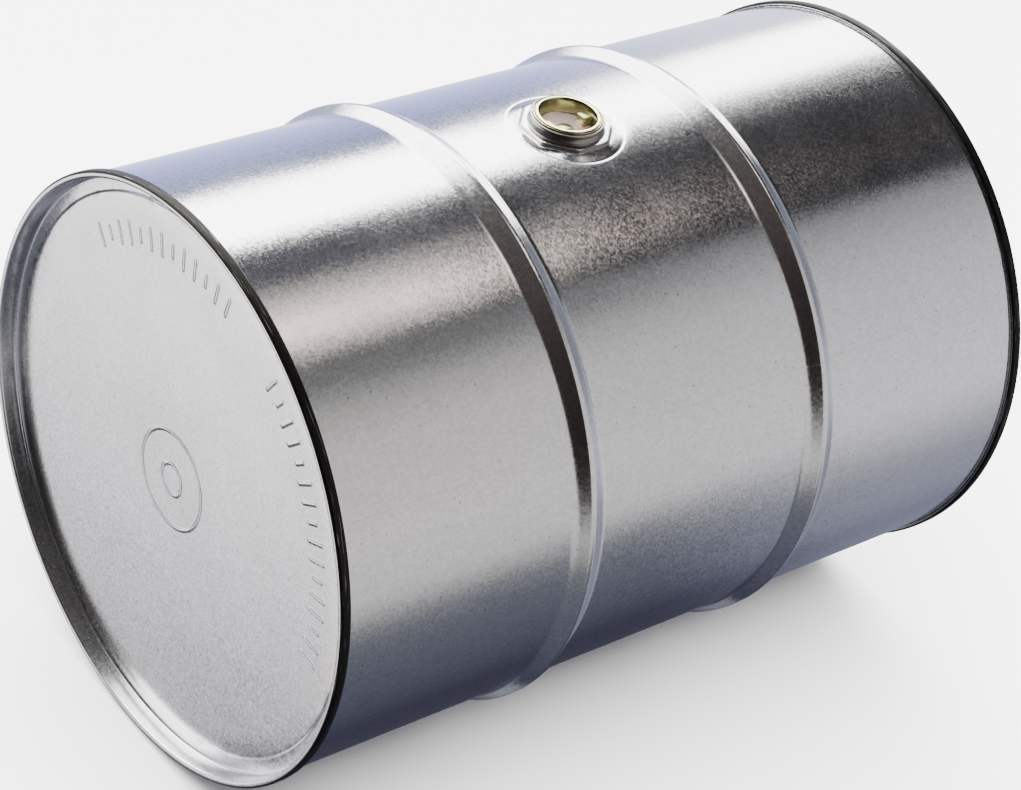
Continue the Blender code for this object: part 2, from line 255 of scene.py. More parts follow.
def pocket_ramp(mesh):
    """Rings over the pocket's rounded rim and along its ramp to the octagon's seat."""
    rings = []
    for i in range(1, POCKET_RIM_STEPS + 1):
        share = i / POCKET_RIM_STEPS
        fall = eased(0, POCKET_RIM_DEPTH, share)
        radius = POCKET_RADIUS - POCKET_RIM_WIDTH * share
        ring = []
        for angle in BUNG_ANGLES:
            height = wall_height(radius * math.sin(angle)) - fall
            ring.append(mesh.verts.new(bung_point(height, radius, angle)))
        rings.append(ring)
    rim = [vert.co.copy() for vert in rings[-1]]
    half = OCTAGON_FOOT_HALF + OCTAGON_SEAT
    seat = [Vector(octagon_point(POCKET_FLOOR, half, angle)) for angle in BUNG_ANGLES]
    for i in range(1, POCKET_RAMP_STEPS + 1):
        share = i / POCKET_RAMP_STEPS
        rings.append([mesh.verts.new(start.lerp(end, share)) for start, end in zip(rim, seat)])
    return rings


def octagon_profile():
    """The octagon from its seat up its sloping wall to its top, as (height, half across flats)."""
    slope = (OCTAGON_TOP_HALF - OCTAGON_FOOT_HALF) / (OCTAGON_TOP - POCKET_FLOOR)
    return [
        *[(POCKET_FLOOR + rise, OCTAGON_FOOT_HALF + out) for rise, out in OCTAGON_FOOT_BEND],
        (POCKET_FLOOR + OCTAGON_WALL_START, OCTAGON_FOOT_HALF + slope * OCTAGON_WALL_START),
        (OCTAGON_TOP - OCTAGON_WALL_STOP, OCTAGON_TOP_HALF - slope * OCTAGON_WALL_STOP),
        *[(OCTAGON_TOP - fall, OCTAGON_TOP_HALF - inside) for fall, inside in OCTAGON_TOP_BEND],
    ]


def collar_profile():
    """The drawn collar from its root on the octagon to its mouth, as (height, radius)."""
    fillet = COLLAR_ROOT_RADIUS - COLLAR_RADIUS
    root = arc((0, COLLAR_ROOT_RADIUS), fillet, 0, -90, BEND_STEPS)
    return [*[(OCTAGON_TOP + fillet - h, r) for h, r in root], (COLLAR_TOP, COLLAR_MOUTH_RADIUS)]


def bung_pocket(mesh, edge):
    """The ramped pocket, octagon and drawn collar round the bung, inwards from the patch's square edge."""
    rings = [edge, *blend_to_pocket(mesh, edge), *pocket_ramp(mesh)]
    rings += [new_ring(mesh, octagon_point, height, half, BUNG_ANGLES) for height, half in octagon_profile()]
    rings += [new_ring(mesh, bung_point, height, radius, BUNG_ANGLES) for height, radius in collar_profile()]
    for outer, inner in zip(rings, rings[1:]):
        skin(mesh, outer, inner)


def make_body(material):
    """The rolled body: hooked ends, two rolling hoops and the bung's pocket, in one sheet."""
    hook = [(depth - HALF_LENGTH, radius) for depth, radius in body_hook()]
    hoop = hoop_profile(-HOOP_OFFSET)
    ends = straight(hook[-1][0], hoop[0][0], BODY_RADIUS)
    inner = straight(hoop[-1][0], -PATCH_HALF_LENGTH, BODY_RADIUS)
    front = hook + ends + hoop + inner
    patch = [(PATCH_HALF_LENGTH * i / PATCH_HALF, BODY_RADIUS) for i in range(-PATCH_HALF, PATCH_HALF + 1)]
    profile = front + patch + [(-x, radius) for x, radius in reversed(front)]
    middle = len(front) + PATCH_HALF
    mesh = bmesh.new()
    rings = [new_ring(mesh, drum_point, x, radius, DRUM_ANGLES) for x, radius in profile]
    for row in range(len(rings) - 1):
        for column in range(FACETS):
            offset = (column + FACETS // 2) % FACETS - FACETS // 2
            if -PATCH_HALF <= row - middle < PATCH_HALF and -PATCH_HALF <= offset < PATCH_HALF:
                continue
            after = (column + 1) % FACETS
            corners = (rings[row][column], rings[row][after], rings[row + 1][after], rings[row + 1][column])
            mesh.faces.new(corners)
    steps = [square_step(i) for i in range(BUNG_FACETS)]
    bung_pocket(mesh, [rings[middle + row][column % FACETS] for row, column in steps])
    for vert in [v for v in mesh.verts if not v.link_faces]:
        mesh.verts.remove(vert)
    thicken(make_piece("galvanised_body", mesh, "drum", ["body_shell"], material))


def head_profile():
    """Outer face of a head, from its flat centre to the head hook's cut edge, as (depth, radius)."""
    hook_radius = BODY_RADIUS + GAP
    bend = (CHIME_RADIUS - hook_radius) / 2
    flat = [(PANEL_FLAT_DEPTH, PANEL_FLAT_RADIUS * i / PANEL_STEPS) for i in range(1, PANEL_STEPS)]
    slope = []
    for i in range(PANEL_STEPS + 1):
        depth = PANEL_FLAT_DEPTH + (PANEL_STEP_DEPTH - PANEL_FLAT_DEPTH) * (i / PANEL_STEPS) ** 2
        slope.append((depth, PANEL_FLAT_RADIUS + (PANEL_STEP_RADIUS - PANEL_FLAT_RADIUS) * i / PANEL_STEPS))
    step = []
    for i in range(1, BEND_STEPS + 1):
        radius = PANEL_STEP_RADIUS + (GROOVE_RADIUS - PANEL_STEP_RADIUS) * i / BEND_STEPS
        step.append((eased(PANEL_STEP_DEPTH, GROOVE_DEPTH, i / BEND_STEPS), radius))
    corner = (GROOVE_DEPTH - GROOVE_CORNER, CHUCK_RADIUS - GROOVE_CORNER)
    return [
        *flat,
        *slope,
        *step,
        *arc(corner, GROOVE_CORNER, 0, 90, BEND_STEPS),
        *arc((CHIME_CORNER, CHUCK_RADIUS + CHIME_CORNER), CHIME_CORNER, 270, 180, BEND_STEPS),
        *arc((CHIME_CORNER, CHIME_RADIUS - CHIME_CORNER), CHIME_CORNER, 180, 90, BEND_STEPS),
        *arc((SEAM_HEIGHT - bend, CHIME_RADIUS - bend), bend, 90, -90, SEAM_STEPS),
        (HEAD_HOOK_END, hook_radius),
    ]


def make_head(name, side, node, material):
    """One end of the drum: side -1 is the front head, at -X, and side 1 is the rear head."""
    mesh = bmesh.new()
    rings = [
        new_ring(mesh, drum_point, side * (HALF_LENGTH - depth), radius, DRUM_ANGLES)
        for depth, radius in head_profile()
    ]
    mesh.faces.new(rings[0])
    for inner, outer in zip(rings, rings[1:]):
        skin(mesh, outer, inner)
    if side < 0:
        bmesh.ops.reverse_faces(mesh, faces=mesh.faces)
    thicken(make_piece(name, mesh, "drum", [node], material))


class Nodes:
    """A node tree, with short calls for the nodes used here."""

    def __init__(self, tree):
        self.tree = tree

    def add(self, kind, inputs=None, **settings):
        """A new node. An input that is a socket is linked, and any other input is a value."""
        node = self.tree.nodes.new(kind)
        for key, value in settings.items():
            setattr(node, key, value)
        for key, value in (inputs or {}).items():
            if isinstance(value, bpy.types.NodeSocket):
                self.tree.links.new(value, node.inputs[key])
            else:
                node.inputs[key].default_value = value
        return node

    def remap(self, value, low, high, new_low=0.0, new_high=1.0, smooth=False):
        """A value carried over from one range to another, and held at the new range's ends."""
        inputs = {"Value": value, "From Min": low, "From Max": high, "To Min": new_low, "To Max": new_high}
        kind = "SMOOTHSTEP" if smooth else "LINEAR"
        return self.add("ShaderNodeMapRange", inputs, interpolation_type=kind).outputs["Result"]

    def fade(self, value, start, end):
        """A share that grows smoothly from none at start to one at end."""
        return self.remap(value, start, end, smooth=True)

    def math(self, operation, first, second=0.0):
        return self.add("ShaderNodeMath", {0: first, 1: second}, operation=operation).outputs[0]

    def times(self, first, second):
        return self.math("MULTIPLY", first, second)

    def distance(self, first, second):
        """How far apart two numbers are."""
        return self.math("ABSOLUTE", self.math("SUBTRACT", first, second))

    def vector(self, operation, *values):
        return self.add("ShaderNodeVectorMath", dict(enumerate(values)), operation=operation).outputs

    def axes(self, vector):
        return self.add("ShaderNodeSeparateXYZ", {0: vector}).outputs

    def mix(self, share, first, second, blend="MIX"):
        """A mix of two colours, which are a mix node's sockets 6 and 7."""
        inputs = {0: share, 6: first, 7: second}
        return self.add("ShaderNodeMix", inputs, data_type="RGBA", blend_type=blend).outputs[2]

    def ramp(self, value, stops):
        """A colour that runs through (value, colour) stops."""
        low, high = stops[0][0], stops[-1][0]
        node = self.add("ShaderNodeValToRGB", {"Fac": self.remap(value, low, high)})
        elements = node.color_ramp.elements
        while len(elements) < len(stops):
            elements.new(0.5)
        for element, (place, colour) in zip(elements, stops):
            element.position = (place - low) / (high - low)
            element.color = (*colour, 1)
        return node.outputs["Color"]


class Shader(Nodes):
    """A new Principled material, whose textures lie in the object's own space."""

    def __init__(self, name, roughness=0.5, metallic=0.0):
        self.material = bpy.data.materials.new(name)
        self.material.use_nodes = True
        super().__init__(self.material.node_tree)
        self.bsdf = self.tree.nodes["Principled BSDF"]
        self.bsdf.inputs["Roughness"].default_value = roughness
        self.bsdf.inputs["Metallic"].default_value = metallic
        self.place = self.add("ShaderNodeTexCoord").outputs["Object"]

    def noise(self, scale, detail=4.0, place=None):
        inputs = {"Vector": place or self.place, "Scale": scale, "Detail": detail, "Roughness": 0.6}
        return self.add("ShaderNodeTexNoise", inputs).outputs["Fac"]

    def cells(self, scale, output="Color"):
        inputs = {"Vector": self.place, "Scale": scale}
        return self.add("ShaderNodeTexVoronoi", inputs).outputs[output]

    def bump(self, height, distance, under=None):
        inputs = {"Height": height, "Distance": distance, "Strength": 1.0}
        if under:
            inputs["Normal"] = under
        return self.add("ShaderNodeBump", inputs).outputs["Normal"]

    def tilted(self, normal, cells, amount):
        """The normal, tilted a little at random in each cell."""
        centred = self.vector("SUBTRACT", cells, (0.5, 0.5, 0.5))[0]
        return self.vector("MULTIPLY_ADD", centred, (amount, amount, amount), normal)[0]

    def round_the_drum(self):
        """Place along the drum, distance from its axis, and distance round it from the top towards -Y."""
        x, y, z = self.axes(self.place)
        height = self.math("SUBTRACT", z, AXIS_HEIGHT)
        squares = self.math("ADD", self.times(y, y), self.times(height, height))
        radius = self.math("SQRT", squares)
        angle = self.math("ARCTAN2", self.times(y, -1.0), height)
        return x, radius, self.times(angle, BODY_RADIUS)

    def stretched(self, along, scale, *axes):
        """Noise over axes that vary fast, and over one along which it is drawn out."""
        place = self.add("ShaderNodeCombineXYZ", dict(enumerate((*axes, along))))
        return self.noise(scale, 2.0, place=place.outputs[0])

    def set(self, name, socket):
        self.tree.links.new(socket, self.bsdf.inputs[name])


# Zinc: scales of its textures per metre, places of its marks, the shades of worn and stained metal, and
# painted shade and shadow round the bung.
FLECK_SCALE = 390
SPANGLE_SCALE = 300
CRYSTAL_SCALE = 430
CLOUD_SCALE = 9
WAVE_SCALE = 7
WAVE_HEIGHT = 0.0004
FLECK_HEIGHT = 0.000045
PIT_SCALE = 95
PIT_CLUSTER_SCALE = 30
PIT_RADII = (0.05, 0.13)        # as shares of a pit's cell
PIT_SHADE = (0.16, 0.15, 0.15, 1)
STAIN_RADII = (BODY_RADIUS + 0.0012, BODY_RADIUS + 0.0026)
STAIN_SHADE = (0.018, 0.017, 0.0155, 1)
STAIN_ROUGHNESS = 0.5
STAIN_WEAR_SCALE = 700
STAIN_WEAR_STRETCH = 0.03
SCUFF_RADIUS = (PANEL_STEP_RADIUS + GROOVE_RADIUS) / 2
SCUFF_REACH = (0.002, 0.007)
SCUFF_SCALE = 55
SCUFF_SHADE = (0.30, 0.26, 0.22, 1)
# Painted shade on the drawn collar and on the octagon's steep walls.
COLLAR_PAINTED_SHADE = (0.22, 0.205, 0.185, 1)
COLLAR_ROUGHNESS = 0.32
WALL_RADIUS = 0.048             # round the octagon's walls
WALL_SLOPES = (0.97, 0.8)       # upward part of the normal
WALL_PAINTED_SHADE = (0.2, 0.19, 0.18, 1)
WALL_ROUGHNESS = 0.3
# A painted shadow in the crease round the octagon's foot.
SEAT_SHADOW_RADIUS = OCTAGON_FOOT_HALF + 0.004
SEAT_SHADOW_REACH = (0.0035, 0.0005)
SEAT_PAINTED_SHADOW = (0.25, 0.24, 0.24, 1)
WELD_ANGLE = math.radians(61)   # from the top towards -Y
WELD_HALF_WIDTH = 0.0011
WELD_HEIGHT = 0.00008
WELD_SHADE = (0.4, 0.38, 0.37, 1)
STREAK_SCALE = 300
STREAK_STRETCH = 0.02
STREAK_SHADE = (0.42, 0.42, 0.42, 1)


def chime_marks(shader, colour, rough):
    """A dark stain, a little worn, where a head is folded round the chime, and scuffs on its step."""
    x, radius, around = shader.round_the_drum()
    worn = shader.stretched(shader.times(around, STAIN_WEAR_STRETCH), STAIN_WEAR_SCALE, x, radius)
    fold = shader.times(shader.fade(radius, *STAIN_RADII), shader.remap(worn, 0.60, 0.70, 1.0, 0.72))
    colour = shader.mix(fold, colour, STAIN_SHADE)
    rough = shader.math("MAXIMUM", rough, shader.times(fold, STAIN_ROUGHNESS))
    scuff = shader.remap(shader.distance(radius, SCUFF_RADIUS), *SCUFF_REACH, 1.0, 0.0)
    scuff = shader.times(scuff, shader.remap(shader.noise(SCUFF_SCALE), 0.5, 0.62, 0.0, 0.7))
    return shader.mix(scuff, colour, SCUFF_SHADE), rough


def bung_painted_shade(shader, colour, rough):
    """Painted shade, with rougher metal, on the drawn collar and the octagon's walls, and a painted shadow
    round their seat.
    """
    flat = shader.vector("MULTIPLY", shader.place, (1.0, 1.0, 0.0))[0]
    radius = shader.vector("LENGTH", flat)["Value"]
    # Painted shade on the collar under the lip, with rougher metal.
    collar = shader.fade(radius, COLLAR_ROOT_RADIUS, COLLAR_ROOT_RADIUS - 0.001)
    colour = shader.mix(shader.times(collar, 0.85), colour, COLLAR_PAINTED_SHADE)
    rough = shader.math("MAXIMUM", rough, shader.times(collar, COLLAR_ROUGHNESS))
    # Painted shade on the octagon's steep walls, picked out by their normals, with rougher metal.
    facing = shader.add("ShaderNodeNewGeometry").outputs["Normal"]
    walls = shader.remap(shader.axes(facing)[2], *WALL_SLOPES)
    walls = shader.times(walls, shader.remap(radius, WALL_RADIUS, WALL_RADIUS - 0.001))
    colour = shader.mix(shader.times(walls, 0.8), colour, WALL_PAINTED_SHADE)
    rough = shader.math("MAXIMUM", rough, shader.times(walls, WALL_ROUGHNESS))
    # A painted shadow along the crease at the octagon's foot.
    seat_shadow = shader.remap(shader.distance(radius, SEAT_SHADOW_RADIUS), *SEAT_SHADOW_REACH, 0.0, 0.45)
    return shader.mix(seat_shadow, colour, SEAT_PAINTED_SHADOW), rough


def weld_and_streaks(shader, colour, normal):
    """The body's weld line and the faint streaks of rolling."""
    x, _, around = shader.round_the_drum()
    line = shader.distance(around, WELD_ANGLE * BODY_RADIUS)
    weld = shader.remap(line, 0.0, WELD_HALF_WIDTH, 1.0, 0.0)
    colour = shader.mix(shader.times(weld, 0.25), colour, WELD_SHADE)
    streak = shader.stretched(shader.times(around, STREAK_STRETCH), STREAK_SCALE, x)
    streak = shader.remap(streak, 0.55, 0.75, 0.0, 0.14)
    return shader.mix(streak, colour, STREAK_SHADE), shader.bump(weld, WELD_HEIGHT, normal)


def galvanised(name, dark, light, roughness, crystal_tilt, head=False):
    """Hot-dip zinc on rolled sheet: a fine spangle, small pits, and sheet that is never quite flat."""
    shader = Shader(name, metallic=1.0)
    fleck = shader.noise(FLECK_SCALE, 3.0)
    spangle = shader.add("ShaderNodeSeparateColor", {0: shader.cells(SPANGLE_SCALE)}).outputs[0]
    tone = shader.math("ADD", shader.remap(fleck, 0.3, 0.7, 0.0, 0.6), shader.times(spangle, 0.4))
    colour = shader.mix(tone, (*dark, 1), (*light, 1))
    pit = shader.remap(shader.cells(PIT_SCALE, "Distance"), *PIT_RADII, 1.0, 0.0)
    pit = shader.times(pit, shader.remap(shader.noise(PIT_CLUSTER_SCALE, 2.0), 0.5, 0.58, 0.0, 0.75))
    colour = shader.mix(pit, colour, PIT_SHADE)
    cloud = shader.remap(shader.noise(CLOUD_SCALE, 3.0), 0.3, 0.7, -0.3, 0.3)
    rough = shader.math("ADD", shader.remap(fleck, 0.25, 0.75), cloud)
    rough = shader.remap(rough, 0, 1, *roughness)
    normal = shader.bump(shader.noise(WAVE_SCALE, 1.0), WAVE_HEIGHT)
    if head:
        colour, rough = chime_marks(shader, colour, rough)
    else:
        colour, rough = bung_painted_shade(shader, colour, rough)
        colour, normal = weld_and_streaks(shader, colour, normal)
    shader.set("Base Color", colour)
    shader.set("Roughness", rough)
    normal = shader.tilted(normal, shader.cells(CRYSTAL_SCALE), crystal_tilt)
    shader.set("Normal", shader.bump(fleck, FLECK_HEIGHT, normal))
    return shader.material


# Plug and flange, as radii round the bung's axis and heights above the drum's axis.
RIM_TOP = PLUG_HIGH.z - AXIS_HEIGHT
PLUG_BOTTOM = PLUG_LOW.z - AXIS_HEIGHT
HEAD_RADIUS = PLUG_HIGH.x
HEAD_BOTTOM = RIM_TOP - 0.0019
HEAD_EDGE_TOP = HEAD_BOTTOM + 0.0013
HEAD_EDGE_ROUNDING = 0.0006
RIM_OUTER = 0.0310
RIM_INNER = 0.0282
RIM_GROOVE_RADIUS = 0.0324
RIM_GROOVE_DEPTH = 0.0010
RIM_GROOVE_FLARE = 0.0003
HEAD_EDGE_FALL = 0.0001
CUP_RADIUS = 0.0268
CUP_MOUTH_DEPTH = 0.0026
CUP_FLOOR = PLUG_BOTTOM + 0.002
CUP_FILLET = 0.0025
CUP_FILLET_STEPS = 5
BOSS_RADIUS = 0.007
BOSS_HEIGHT = 0.0012
PLUG_CHAMFER = 0.0016
LUG_INNER = 0.0165
LUG_HALF_WIDTH = 0.0062
LUG_HEIGHT = 0.0095
LUG_ROUNDING = 0.0016
ROUNDING_STEPS = 4
JOINED_SHARP_ANGLE = math.radians(35)
FLANGE_BOTTOM = FLANGE_LOW.z - AXIS_HEIGHT
FLANGE_FOOT_TOP = FLANGE_BOTTOM + 0.004
FLANGE_FOOT_HALF = FLANGE_HIGH.x
FLANGE_NECK_RADIUS = 0.0326
LIP_RADIUS = 0.0356
LIP_TOP = FLANGE_HIGH.z - AXIS_HEIGHT
LIP_BOTTOM = LIP_TOP - 0.002
LIP_ROUNDING = 0.0009
SEAT_RADIUS = 0.0324
SEAT_HEIGHT = LIP_TOP - 0.0017
FLANGE_GASKET_INNER = 0.0331
PLUG_GASKET_INNER = 0.0301

# G2 thread: 11 turns to the inch, right-handed.
PITCH = 0.0254 / 11
PLUG_ROOT = 0.0282
PLUG_CREST = 0.0295
CLEARANCE = 0.0003
FLANGE_ROOT = PLUG_CREST + CLEARANCE
FLANGE_CREST = PLUG_ROOT + CLEARANCE
FLANK = math.tan(math.radians(27.5))
HALF_CREST_WIDTH = 0.00017
BURIED = 0.0004
RUN_OUT = 0.25      # in turns
PLUG_TURNS = 4.5
FLANGE_TURNS = 4.75
PLUG_THREAD_START = PLUG_BOTTOM + 0.0024
FLANGE_THREAD_START = PLUG_THREAD_START - PITCH / 2

# Raised marks on the front head: plain long and short bars on an arc, in two groups, and two plain rings.
MARK_RADIUS = 0.2315
MARK_LONG = 0.0095
MARK_SHORT = 0.0055
MARK_HALF_WIDTH = 0.0030
MARK_RAISE = 0.0009
MARK_ROWS = 24
MARK_COLUMNS = 10
MARK_SPACING = math.radians(4.4)
MARK_GROUPS = ((math.radians(-41), 13), (math.radians(32), 16))     # angle from the top of the first, count
RING_RADIUS = 0.049
RING_HALF_WIDTH = 0.0028
INNER_RING_RADIUS = 0.016
MARK_SINK = 0.0002
MARK_EDGE_SINK = 0.00002


def turned(profile, place=bung_point, capped=False):
    """A closed bmesh turned from (height, radius) points: a ring, or with capped closed at both ends."""
    mesh = bmesh.new()
    rings = [new_ring(mesh, place, height, radius, BUNG_ANGLES) for height, radius in profile]
    for first, second in zip(rings, rings[1:]):
        skin(mesh, first, second)
    if capped:
        mesh.faces.new(rings[0])
        mesh.faces.new(rings[-1])
    else:
        skin(mesh, rings[-1], rings[0])
    bmesh.ops.recalc_face_normals(mesh, faces=mesh.faces)
    return mesh


def rounded(height, radius, rounding, start, end):
    """A turned profile's sharp corner at (height, radius), rounded, as (height, radius) points.

    start and end are quarter turns in degrees, from +height towards +radius.
    """
    middle = math.radians((start + end) / 2)
    across = height - math.copysign(rounding, math.cos(middle))
    out = radius - math.copysign(rounding, math.sin(middle))
    return arc((across, out), rounding, start, end, ROUNDING_STEPS)


def thread_ridge(name, root, crest, start, turns):
    """A helical ridge on a round wall of radius root, buried in it at both ends.

    start is the height of the ridge's centre line at angle 0.
    """
    outwards = 1 if crest > root else -1
    half_foot = HALF_CREST_WIDTH + FLANK * (abs(crest - root) + BURIED)
    foot = root - outwards * BURIED
    sunk = root - outwards * BURIED / 2
    steps = round(turns * BUNG_FACETS)
    mesh = bmesh.new()
    sections = []
    for step in range(steps + 1):
        turned_by = step / BUNG_FACETS
        angle = 2 * math.pi * turned_by
        centre = start + PITCH * turned_by
        rise = min(1.0, turned_by / RUN_OUT, (turns - turned_by) / RUN_OUT)
        top = sunk + (crest - sunk) * rise
        sections.append([
            mesh.verts.new(bung_point(centre - half_foot, foot, angle)),
            mesh.verts.new(bung_point(centre - HALF_CREST_WIDTH, top, angle)),
            mesh.verts.new(bung_point(centre + HALF_CREST_WIDTH, top, angle)),
            mesh.verts.new(bung_point(centre + half_foot, foot, angle)),
        ])
    for first, second in zip(sections, sections[1:]):
        skin(mesh, first, second)
    mesh.faces.new(sections[0])
    mesh.faces.new(sections[-1])
    bmesh.ops.recalc_face_normals(mesh, faces=mesh.faces)
    return loose_solid(name, mesh)


def wrench_lug(name, side):
    """A rounded block standing on the cup's floor and let into its wall, at -X or +X."""
    low = AXIS_HEIGHT + CUP_FLOOR - GAP
    size = (CUP_RADIUS + GAP - LUG_INNER, 2 * LUG_HALF_WIDTH, LUG_HEIGHT + GAP)
    mesh = bmesh.new()
    bmesh.ops.create_cube(mesh, size=1.0)
    bmesh.ops.scale(mesh, vec=size, verts=mesh.verts)
    middle = (side * (LUG_INNER + size[0] / 2), 0, low + size[2] / 2)
    bmesh.ops.translate(mesh, vec=middle, verts=mesh.verts)
    edges = [e for e in mesh.edges if max(v.co.z for v in e.verts) > middle[2]]
    bmesh.ops.bevel(
        mesh, geom=edges, offset=LUG_ROUNDING, segments=ROUNDING_STEPS, profile=0.5, affect="EDGES"
    )
    return loose_solid(name, mesh)


def loose_solid(name, mesh):
    """A solid that is there only to be united with a piece."""
    data = bpy.data.meshes.new(name)
    mesh.to_mesh(data)
    mesh.free()
    solid = bpy.data.objects.new(name, data)
    bpy.context.scene.collection.objects.link(solid)
    return solid


def join(piece, others):
    """Unites solids with a piece for good, and removes them."""
    for other in others:
        union = piece.modifiers.new(other.name, "BOOLEAN")
        union.operation = "UNION"
        union.solver = "EXACT"
        union.object = other
    united = bpy.data.meshes.new_from_object(piece.evaluated_get(bpy.context.evaluated_depsgraph_get()))
    piece.modifiers.clear()
    piece.data = united
    united.shade_smooth()
    united.set_sharp_from_angle(angle=JOINED_SHARP_ANGLE)
    for other in others:
        bpy.data.objects.remove(other, do_unlink=True)


def make_flange(material):
    """The threaded flange: an octagonal foot under the sheet, and a neck with its lip over the collar."""
    def place(height, radius, angle):
        return (octagon_point if radius > LIP_RADIUS else bung_point)(height, radius, angle)

    profile = [
        (FLANGE_BOTTOM, FLANGE_FOOT_HALF),
        (FLANGE_FOOT_TOP, FLANGE_FOOT_HALF),
        (FLANGE_FOOT_TOP, FLANGE_NECK_RADIUS),
        (LIP_BOTTOM, FLANGE_NECK_RADIUS),
        *rounded(LIP_BOTTOM, LIP_RADIUS, LIP_ROUNDING, 180, 90),
        *rounded(LIP_TOP, LIP_RADIUS, LIP_ROUNDING, 90, 0),
        (LIP_TOP, SEAT_RADIUS + CLEARANCE),
        (LIP_TOP - CLEARANCE, SEAT_RADIUS),
        (SEAT_HEIGHT, SEAT_RADIUS),
        (SEAT_HEIGHT, FLANGE_ROOT),
        (FLANGE_BOTTOM, FLANGE_ROOT),
    ]
    mesh = turned(profile, place)
    piece = make_piece("flange_insert", mesh, "drum", ["bung_flange"], material)
    thread = thread_ridge("flange_thread", FLANGE_ROOT, FLANGE_CREST, FLANGE_THREAD_START, FLANGE_TURNS)
    join(piece, [thread])


def make_plug(material):
    """The threaded plug: a cup with a grooved, stepped head, and two lugs inside for a wrench."""
    fillet = (CUP_FLOOR + CUP_FILLET, CUP_RADIUS - CUP_FILLET)
    profile = [
        (PLUG_BOTTOM, PLUG_ROOT - PLUG_CHAMFER),
        (PLUG_BOTTOM + PLUG_CHAMFER, PLUG_ROOT),
        (HEAD_BOTTOM, PLUG_ROOT),
        *rounded(HEAD_BOTTOM, HEAD_RADIUS, HEAD_EDGE_ROUNDING, 180, 90),
        *rounded(HEAD_EDGE_TOP, HEAD_RADIUS, HEAD_EDGE_ROUNDING, 90, 0),
        (HEAD_EDGE_TOP - HEAD_EDGE_FALL, RIM_GROOVE_RADIUS + RIM_GROOVE_FLARE),
        (HEAD_EDGE_TOP - RIM_GROOVE_DEPTH, RIM_GROOVE_RADIUS),
        (HEAD_EDGE_TOP - RIM_GROOVE_DEPTH, RIM_OUTER),
        *rounded(RIM_TOP, RIM_OUTER, HEAD_EDGE_ROUNDING, 90, 0),
        *rounded(RIM_TOP, RIM_INNER, HEAD_EDGE_ROUNDING, 360, 270),
        (RIM_TOP - CUP_MOUTH_DEPTH, CUP_RADIUS),
        *arc(fillet, CUP_FILLET, 90, 180, CUP_FILLET_STEPS),
        (CUP_FLOOR, BOSS_RADIUS + BOSS_HEIGHT),
        (CUP_FLOOR + BOSS_HEIGHT / 2, BOSS_RADIUS),
        (CUP_FLOOR + BOSS_HEIGHT, BOSS_RADIUS - BOSS_HEIGHT),
    ]
    mesh = turned(profile, capped=True)
    piece = make_piece("plug_cup", mesh, "plug", ["bung_plug"], material)
    lugs = [wrench_lug("front_lug", -1), wrench_lug("rear_lug", 1)]
    thread = thread_ridge("plug_thread", PLUG_ROOT, PLUG_CREST, PLUG_THREAD_START, PLUG_TURNS)
    join(piece, [thread, *lugs])


def make_gasket(name, node, body, inner, material):
    """A flat rubber ring with rounded edges, filling its CAD node's box."""
    low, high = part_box(node)
    bottom, top, outer = low.z - AXIS_HEIGHT, high.z - AXIS_HEIGHT, high.x
    rounding = (top - bottom) / 3
    profile = [
        *rounded(bottom, outer, rounding, 180, 90),
        *rounded(top, outer, rounding, 90, 0),
        *rounded(top, inner, rounding, 360, 270),
        *rounded(bottom, inner, rounding, 270, 180),
    ]
    make_piece(name, turned(profile), body, [node], material)


def raised(distance, half_width):
    """Height of a pressed mark at a distance from its middle: a cosine that meets the sheet smoothly."""
    return MARK_RAISE * (1 + math.cos(math.pi * min(1.0, distance / half_width))) / 2 - MARK_EDGE_SINK


def add_bar(mesh, angle, half_length):
    """One pressed bar on the front head, pointing at the drum's axis."""
    reach = half_length + MARK_HALF_WIDTH
    grid = []
    for row in range(MARK_ROWS + 1):
        along = reach * (2 * row / MARK_ROWS - 1)
        line = []
        for column in range(MARK_COLUMNS + 1):
            across = MARK_HALF_WIDTH * (2 * column / MARK_COLUMNS - 1)
            distance = math.hypot(max(0.0, abs(along) - half_length), across)
            face = PANEL_FACE - raised(distance, MARK_HALF_WIDTH)
            x, y, z = drum_point(face, MARK_RADIUS + along, angle)
            line.append(mesh.verts.new((x, y - across * math.cos(angle), z - across * math.sin(angle))))
        grid.append(line)
    for near, far in zip(grid, grid[1:]):
        for column in range(MARK_COLUMNS):
            mesh.faces.new((near[column], near[column + 1], far[column + 1], far[column]))
    right = [line[-1] for line in grid[1:-1]]
    left = [line[0] for line in grid[-2:0:-1]]
    edge = [*grid[0], *right, *reversed(grid[-1]), *left]
    under = [mesh.verts.new(vert.co + Vector((MARK_SINK, 0, 0))) for vert in edge]
    skin(mesh, edge, under)
    mesh.faces.new(under)


def add_ring(mesh, radius):
    """One pressed ring on the front head, round the drum's axis."""
    offsets = [RING_HALF_WIDTH * (2 * i / MARK_COLUMNS - 1) for i in range(MARK_COLUMNS + 1)]
    profile = [(PANEL_FACE - raised(abs(offset), RING_HALF_WIDTH), radius + offset) for offset in offsets]
    under = PANEL_FACE + MARK_SINK
    profile += [(under, radius + RING_HALF_WIDTH), (under, radius - RING_HALF_WIDTH)]
    rings = [new_ring(mesh, drum_point, x, r, BUNG_ANGLES) for x, r in profile]
    for first, second in zip(rings, rings[1:] + rings[:1]):
        skin(mesh, first, second)


def make_marks(material):
    """The plain marks pressed into the front head."""
    mesh = bmesh.new()
    for first, count in MARK_GROUPS:
        for i in range(count):
            add_bar(mesh, first + i * MARK_SPACING, MARK_SHORT if i % 3 == 1 else MARK_LONG)
    add_ring(mesh, RING_RADIUS)
    add_ring(mesh, INNER_RING_RADIUS)
    bmesh.ops.recalc_face_normals(mesh, faces=mesh.faces)
    make_piece("pressed_marks", mesh, "drum", [], material)
